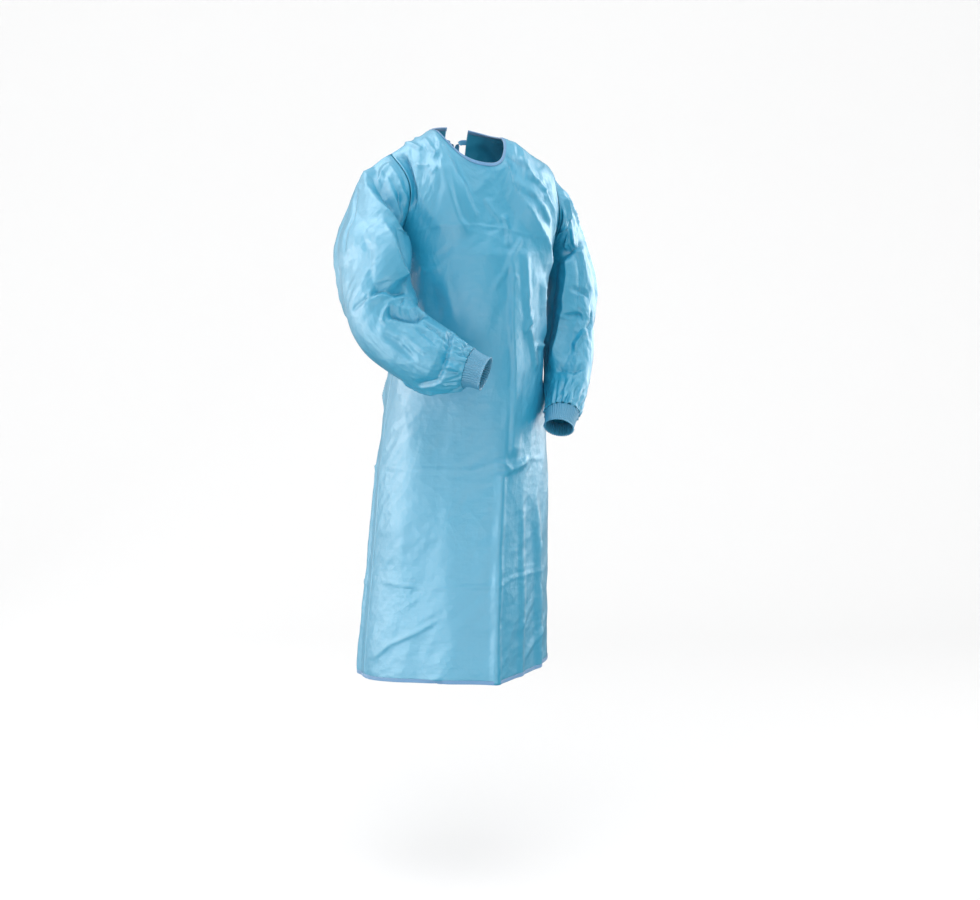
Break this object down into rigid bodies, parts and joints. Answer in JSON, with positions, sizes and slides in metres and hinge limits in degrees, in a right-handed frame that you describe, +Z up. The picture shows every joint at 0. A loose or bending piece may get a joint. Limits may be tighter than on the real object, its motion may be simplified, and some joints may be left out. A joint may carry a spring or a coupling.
{
  "type": "sleeved apron",
  "caption": "Long-sleeved protective apron in thin blue laminate, worn with the right forearm across the front; open back with neck and waist ties, bound neck and hem.",
  "frame": {"origin": "middle of the neck opening at shoulder height, where the wearer's shoulders hold the apron up", "axes": "+Z up along the wearer, -Y the way the wearer faces, +X towards the wearer's left"},
  "size_m": [0.5403, 0.4221, 1.0652],
  "materials": {
    "cloth": "satin film-laminated nonwoven, light blue, crisp like paper",
    "cuff": "the same laminate gathered on elastic",
    "binding": "matt folded tape, lilac blue, sewn along its edge",
    "tie": "matt flat tape, lilac blue"
  },
  "bodies": {
    "root": {"front_panel": "cloth", "back_panel_right": "cloth", "back_panel_left": "cloth", "sleeve_right_upper": "cloth", "sleeve_right_lower": "cloth", "sleeve_left_upper": "cloth", "sleeve_left_lower": "cloth", "cuff_right": "cuff", "cuff_left": "cuff", "neck_binding": "binding", "hem_binding": "binding", "neck_tie_right": "tie", "neck_tie_left": "tie", "neck_tie_knot": "tie", "waist_tie_right": "tie", "waist_tie_left": "tie", "waist_tie_knot": "tie"}
  },
  "joints": []
}
